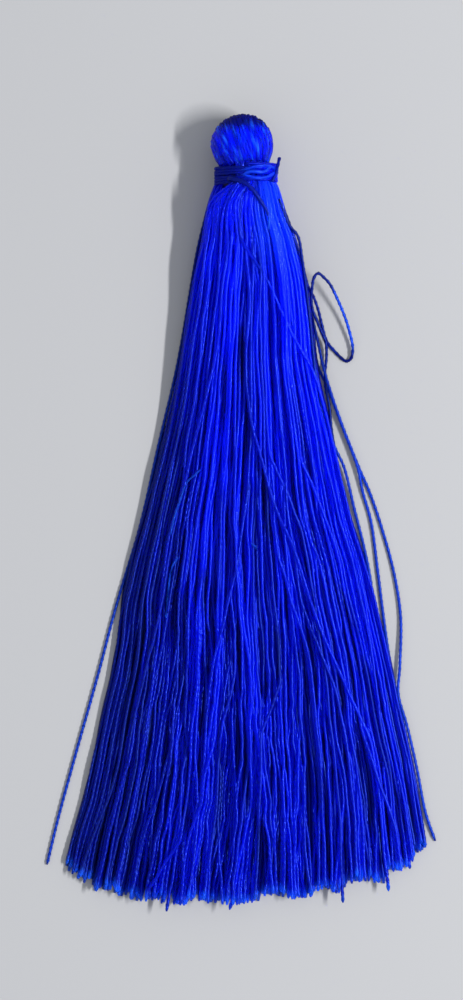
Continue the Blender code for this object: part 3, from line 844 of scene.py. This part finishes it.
head_x, head_y = head_paths[..., 0], head_paths[..., 1]
# Each thread's own random tone, darkened by the painted shade of the crown and the sides.
head_tone = chance.normal(*HEAD_TONE, (len(turns), 1)) * np.interp(head_y, *CROWN_SHADE)
head_tone = head_tone * np.interp(head_x, *HEAD_SIDE_SHADE)
streak_phase = chance.uniform(0, TURN, (len(turns), 1))
streaks = 0.5 + 0.5 * np.sin(TURN * np.linspace(0, HEAD_STREAKS, HEAD_RINGS) + streak_phase)
# Painted highlight streaks, mostly on the threads that lie over the others.
head_highlight = STREAK_HIGHLIGHT * chance.uniform(0, 1, (len(turns), 1)) ** 2 * streaks**2
head_highlight = head_highlight * np.interp(head_y, *STREAK_END)
head_highlight[:HEAD_STRANDS] *= STREAK_BELOW
head = thread_piece(
    "head_threads", head_paths, upward, head_tone, HEAD_SIZE, head_highlight, offset=TAUT_OFFSET
)

# %% [markdown]
# Between the threads one sees only dark depth, so a smooth ball painted nearly black, as painted
# shade, fills the head. It is a surface of revolution from rows of place and radius, squashed like
# the head.

# %% The head's core
CORE = (
    (-6.0, 2.2), (-5.6, 2.6), (-3.0, 2.8), (-2.2, 3.1), (-1.2, 3.42), (-0.4, 3.5), (0.8, 3.36),
    (1.8, 2.88), (2.6, 2.0), (2.95, 1.1), (3.08, 0.3),
)


def turned_core(name, profile, middle, flat, steps):
    """A closed surface of revolution about Y from (along, radius) rows, flattened in height."""
    along, radius = np.array(profile)[:, :, None].transpose(1, 0, 2)
    angle = TURN * np.arange(steps) / steps
    x, z = radius * np.sin(angle), radius * np.cos(angle) * flat
    points = np.stack([x, np.repeat(along, steps, axis=1), z], axis=2) + middle
    index = np.arange(x.size).reshape(x.shape)
    beside = np.roll(index, -1, axis=1)
    faces = np.stack([index[:-1], beside[:-1], beside[1:], index[1:]], axis=-1).reshape(-1, 4)
    faces = faces.tolist() + [index[0, ::-1].tolist(), index[-1].tolist()]
    mesh = bpy.data.meshes.new(name)
    mesh.from_pydata((points.reshape(-1, 3) * MM).tolist(), [], faces)
    mesh.shade_smooth()
    return placed(name, mesh)


core = turned_core("head_core", CORE, (0.12, 0, 3.76), 0.93, 40)
print("core", len(core.data.polygons), "faces")

# %% [markdown]
# ## The tie
#
# The neck is bound with a few turns of the same thread, which are a flattened coil. On the upper
# side it crosses itself in a knot, from which a short end stands off to the right and a long end
# trails down over the skirt and is lost in it.

# %% Turns round the neck
TIE_MIDDLE = np.array([0.50, 0.0, 3.70])
TIE_HALF = (3.82, 3.30)  # across and up, to the middle of the thread
TIE_TOP, TIE_BOTTOM = -3.20, -5.45
TIE_TURNS = 6
TIE_TILT = math.tan(math.radians(1.5))
# Painted shade on the left of the neck, which the head and shoulder shade, and full tone on the
# right.
TIE_SHADE = ((-1.0, 2.5), (0.08, 0.85))  # dark on the left of the neck, bright on the right


def wound(way):
    """Places on the coil: round an ellipse once a turn, down a pitch a turn, slightly tilted."""
    x = TIE_HALF[0] * np.sin(way)
    y = TIE_TOP + (TIE_BOTTOM - TIE_TOP) * way / (TURN * TIE_TURNS) + TIE_TILT * x
    return np.stack([x, y, TIE_HALF[1] * np.cos(way)], axis=-1) + TIE_MIDDLE


def outwards(paths):
    """Directions away from the line through the neck."""
    return unit((paths - TIE_MIDDLE) * (1, 0, 1))


way = np.linspace(0, TURN * TIE_TURNS, int(TIE_TURNS * TURN * 3.6 / RING_STEP))
turns_path = wound(way)
turns_path[:, 1] += 0.05 * np.sin(way * 0.37 + 1) + 0.03 * np.sin(way * 1.7)
turns_path = turns_path[None]
# The turns' tone is painted shade on the left of the neck.
turns_tone = np.interp(turns_path[..., 0], *TIE_SHADE)
tie = [thread_piece("neck_turns", turns_path, outwards(turns_path), turns_tone)]

# %% The knot and its two ends
KNOT_ROUTES = (
    ((-0.3, -4.05, -0.3), (0.8, -3.75, 0.12), (2.0, -3.45, 0.25), (3.2, -3.35, 0.15),
     (4.1, -3.6, 0.0), (4.4, -4.0, -0.2)),
    ((-0.3, -4.45, -0.3), (0.9, -4.75, 0.15), (2.0, -4.95, 0.25), (3.1, -4.75, 0.2),
     (3.9, -4.3, 0.1), (4.3, -3.8, -0.2)),
    ((0.2, -4.6, -0.1), (0.7, -4.25, 0.2), (1.5, -4.15, 0.38), (2.4, -4.2, 0.35), (3.0, -4.0, 0.2),
     (3.5, -3.4, 0.0)),
    ((3.7, -5.3, 0.05), (4.1, -4.6, 0.25), (4.35, -3.8, 0.35), (4.52, -3.0, 0.38),
     (4.68, -2.25, 0.35)),
)
# Painted light on the knot: the short end has painted shade, and the crossings a painted highlight.
KNOT_TONES = ((0.7,), (0.9,), (0.75,), (0.15,))  # the last is the short end, which is in shade
KNOT_HIGHLIGHTS = ((0.22,), (0.30,), (0.36,), (0.0,))
LONG_END = (
    (-1.7, -4.95, 6.7), (-0.9, -5.1, 7.15), (0.0, -5.4, 7.38), (0.8, -5.95, 7.46),
    (1.6, -6.8, 7.4), (2.3, -7.8, 7.18), (2.9, -8.7, 6.98), (3.3, -9.6, 6.8), (3.4, -10.5, 6.68),
    (3.3, -11.3, 6.35),
)
LONG_SIZES = ((0, 0.5, 1), (1.45, 1.2, 0.7))  # it thins towards its end, which is pale
# Painted light on the long end: its tone is painted shade along it, and its end has a painted
# highlight.
LONG_SHADE = ((0, 0.78, 0.88), (0.12, 0.2, 1.0))
LONG_HIGHLIGHT, LONG_HIGHLIGHT_FROM = 0.7, (0.78, 0.88)
KNOT_STEP = 0.7 * RING_STEP


def over_turns(route):
    """Points of a route that is given as across, along and lift over the coil."""
    x, y, lift = np.array(route).T
    reach = TIE_HALF[0] + 0.21 + lift
    rise = np.sqrt(np.maximum(reach**2 - (x - TIE_MIDDLE[0]) ** 2, 0)) * TIE_HALF[1] / TIE_HALF[0]
    return np.stack([x, y, rise + TIE_MIDDLE[2]], axis=1)


knot = np.stack([evenly(over_turns(route), int(6.5 / KNOT_STEP)) for route in KNOT_ROUTES])
tie.append(thread_piece("knot", knot, outwards(knot), KNOT_TONES, tip=KNOT_HIGHLIGHTS, dull=0.0))
long_path = evenly(LONG_END, int(8.5 / KNOT_STEP))[None]
share = np.linspace(0, 1, long_path.shape[1])[None]
long_size, long_tone = np.interp(share, *LONG_SIZES), np.interp(share, *LONG_SHADE)
long_highlight = LONG_HIGHLIGHT * eased(share, *LONG_HIGHLIGHT_FROM)
tie.append(thread_piece("long_end", long_path, (0, 0, 1), long_tone, long_size, long_highlight))

# %% [markdown]
# ## Writing a finish as sums
#
# A material is a tree of nodes. Building it link by link hides what it does, so a small class
# wraps a socket: adding or multiplying two adds the Math node for it, and one method makes any
# other node from its type, its settings and its inputs.

# %% A socket that can be added and multiplied
class Shade:
    """One output socket of a material. Arithmetic with numbers and other sockets adds nodes."""

    def __init__(self, tree, socket=None):
        self.tree = tree
        self.socket = socket

    def node(self, kind, settings=None, inputs=None, output=0):
        """Any node: its settings are set first, then its sockets by name or number."""
        made = self.tree.nodes.new(kind)
        for name, setting in (settings or {}).items():
            setattr(made, name, setting)
        for name, given in (inputs or {}).items():
            if isinstance(given, Shade):
                self.tree.links.new(given.socket, made.inputs[name])
            else:
                made.inputs[name].default_value = given
        return Shade(self.tree, made.outputs[output] if made.outputs else None)

    def maths(self, operation, first, second):
        return self.node("ShaderNodeMath", {"operation": operation}, {0: first, 1: second})

    def __add__(self, other):
        return self.maths("ADD", self, other)

    def __mul__(self, other):
        return self.maths("MULTIPLY", self, other)

    def __sub__(self, other):
        return self.maths("SUBTRACT", self, other)

    def __rsub__(self, other):
        return self.maths("SUBTRACT", other, self)

    __radd__ = __add__
    __rmul__ = __mul__

    def mixed(self, first, second):
        """A colour between the first, where this value is 0, and the second, where it is 1."""
        return self.node("ShaderNodeMix", {"data_type": "RGBA"}, {0: self, 6: first, 7: second}, 2)


def new_material(name):
    """A material with an empty tree, and a shade from which its nodes are made."""
    material = bpy.data.materials.new(name)
    material.use_nodes = True
    material.node_tree.nodes.clear()
    return material, Shade(material.node_tree)


# %% [markdown]
# ## The dyed thread
#
# The thread is a shiny fibre in one strong blue. Its highlights are blue too, since most of the
# light that comes back has passed through dyed fibre, so the specular tint is blue and not white.
# Light also passes from thread to thread, which subsurface scattering stands for: it fills the
# gaps with the same blue. No two threads are quite alike in tone, and each varies a little along
# its length. The tone also holds painted shade: on the left flank, in clefts, towards the hem, on
# the head's crown and on the left of the tie. One in the painted shade is duller too, since only
# threads turned to the light look polished. Fine ridges along the plies break up the gloss. The
# paleness is a painted highlight: at the cut ends, in streaks on the head and where the light
# falls full.

# %% Thread finish
# The tone runs from the deep to the bright blue; it holds painted shade as well as each thread's
# own tone.
DEEP_BLUE = (0.0004, 0.0012, 0.09, 1.0)
BRIGHT_BLUE = (0.0004, 0.0025, 0.64, 1.0)
PAINTED_HIGHLIGHT_BLUE = (0.012, 0.12, 0.95, 1.0)
GLOSS_TINT = (0.055, 0.14, 0.95, 1.0)
FIBRES = 9000.0  # noise cells of the fibres to a metre
PATCH_TONE, FIBRE_TONE = 0.3, 0.1  # how far patches and fibres change the tone
SHADE_DULL, THREAD_DULL, PATCH_DULL = 0.26, 0.12, 0.2  # what adds to the roughness


def thread_finish(name, roughness, streaks, gloss=1.0):
    """A finish of thread, with patches that are drawn out along it by the scale of the streaks."""
    material, start = new_material(name)
    tone, tip, dull = (
        start.node("ShaderNodeAttribute", {"attribute_name": title}, output=2)
        for title in ("tone", "tip", "dull")
    )
    place = start.node("ShaderNodeTexCoord", output=3)
    drawn_out = start.node("ShaderNodeMapping", None, {"Vector": place, "Scale": streaks})
    patches, fibre = (
        start.node("ShaderNodeTexNoise", None, {"Vector": vector, "Scale": scale, "Detail": 2.0})
        for vector, scale in ((drawn_out, 1.0), (place, FIBRES))
    )
    light = (tone + (patches - 0.5) * PATCH_TONE) + (fibre - 0.5) * FIBRE_TONE
    body = light.mixed(DEEP_BLUE, BRIGHT_BLUE)
    shaded = (1 - tone) * (1 - tone) * SHADE_DULL
    dullness = shaded + (dull * THREAD_DULL + (patches - 0.5) * PATCH_DULL)
    # Painted highlight: towards a pale blue where the tip paleness is high.
    colour = (tip * 0.8).mixed(body, PAINTED_HIGHLIGHT_BLUE)
    ridges = {"Height": fibre, "Strength": 0.35, "Distance": 0.00003}
    look = {
        "Normal": start.node("ShaderNodeBump", None, ridges),
        "Base Color": colour,
        "Roughness": roughness + dullness,
        "Metallic": 0.05,
        "Subsurface Weight": 1.0,
        "Subsurface Radius": (0.3, 0.5, 1.0),
        "Subsurface Scale": 0.0040,
        "IOR": 1.6,
        "Specular IOR Level": gloss,
        "Specular Tint": GLOSS_TINT,
    }
    shader = start.node("ShaderNodeBsdfPrincipled", {"subsurface_method": "BURLEY"}, look)
    start.node("ShaderNodeOutputMaterial", None, {"Surface": shader})
    return material


blue_thread = thread_finish("glossy_blue_thread", 0.10, (1300.0, 130.0, 1300.0))
head_thread = thread_finish("head_thread", 0.16, (2600.0, 520.0, 2600.0), 0.3)
tie_thread = thread_finish("neck_tie_thread", 0.22, (700.0, 1500.0, 1500.0))

# %% Core finish
# Painted shade: the core is a nearly black matt blue that stands for the dark depth between
# threads.
painted_shade_core, start = new_material("painted_shade_core")  # a matt blue, nearly black
place = start.node("ShaderNodeTexCoord", output=3)
grain = start.node("ShaderNodeTexNoise", None, {"Vector": place, "Scale": 1500.0})
colour = grain.mixed((0.0, 0.0005, 0.03, 1.0), (0.0, 0.001, 0.10, 1.0))
shader = start.node("ShaderNodeBsdfPrincipled", None, {"Base Color": colour, "Roughness": 0.7})
start.node("ShaderNodeOutputMaterial", None, {"Surface": shader})

finishes = (
    (skirt + strays, blue_thread), ([head], head_thread), (tie, tie_thread), ([core], painted_shade_core),
)
for pieces, material in finishes:
    for piece in pieces:
        piece.data.materials.append(material)
print("finishes on", sum(len(pieces) for pieces, _ in finishes), "pieces")

# %% [markdown]
# ## Standing for the solids
#
# Each piece rides on the part's one body. The skirt, head and strays stand for the solid hank, and
# the turns, the knot and its ends for the solid tie.

# %% Ride and replace
for piece in skirt + strays + [head, core]:
    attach(piece, "root")
    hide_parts("thread_hank")
for piece in tie:
    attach(piece, "root")
    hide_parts("neck_tie")

# %% [markdown]
# ## Surface, light and camera
#
# The tassel lies on a plain pale surface. One light stands high on the right, so that the left
# flank is in shade, and a weak even light fills in from all round. A thread shines where it is
# square to the line half way between light and eye. So the light is long, to make threads of every
# slant shine somewhere, and narrow, to keep the shine to a thin line. The camera looks straight
# down, from far enough away for the tassel not to widen towards it.

# %% The surface
def pale_surface(half):
    """A flat square sheet, whose half side is given in metres."""
    mesh = bpy.data.meshes.new("pale_surface")
    corners = [(-half, -half, 0), (half, -half, 0), (half, half, 0), (-half, half, 0)]
    mesh.from_pydata(corners, [], [(0, 1, 2, 3)])
    material = bpy.data.materials.new("pale_surface")
    material.use_nodes = True
    shader = material.node_tree.nodes["Principled BSDF"]
    shader.inputs["Base Color"].default_value = (0.46, 0.46, 0.47, 1.0)
    shader.inputs["Roughness"].default_value = 0.8
    mesh.materials.append(material)
    return placed("pale_surface", mesh)


pale_surface(1.5)

# %% Light
world = bpy.data.worlds.new("studio")
world.use_nodes = True
background = world.node_tree.nodes["Background"]
background.inputs["Color"].default_value = (0.9, 0.94, 1.0, 1.0)
background.inputs["Strength"].default_value = 0.60
bpy.context.scene.world = world
bpy.context.scene.view_settings.view_transform = "Standard"

KEY_PLACE, KEY_TARGET = np.array((0.45, -0.08, 0.50)), np.array((0, -0.045, 0))  # metres
lamp = bpy.data.lights.new("key", "AREA")
lamp.shape = "RECTANGLE"
lamp.size, lamp.size_y, lamp.energy = 0.28, 0.025, 4.6
towards = KEY_TARGET - KEY_PLACE
turn_z = math.atan2(towards[0], -towards[1])
lean = math.atan2(math.hypot(towards[0], towards[1]), -towards[2])
key = placed("key", lamp)
key.location = KEY_PLACE
key.rotation_euler = (lean, 0, turn_z + math.pi)
print("light leans", round(math.degrees(lean), 1), "degrees")

# %% Camera
FRAME_HEIGHT = 126.26  # millimetres that the camera takes in, from top to bottom
FRAME_MIDDLE = (-1.326, -45.2)
CAMERA_HEIGHT = 500.0
camera_data = bpy.data.cameras.new("overhead")
camera_data.lens = camera_data.sensor_width * CAMERA_HEIGHT / FRAME_HEIGHT
camera = placed("overhead", camera_data)
camera.location = (FRAME_MIDDLE[0] * MM, FRAME_MIDDLE[1] * MM, (CAMERA_HEIGHT + 2.0) * MM)
bpy.context.scene.camera = camera
print("lens", round(camera_data.lens, 1))
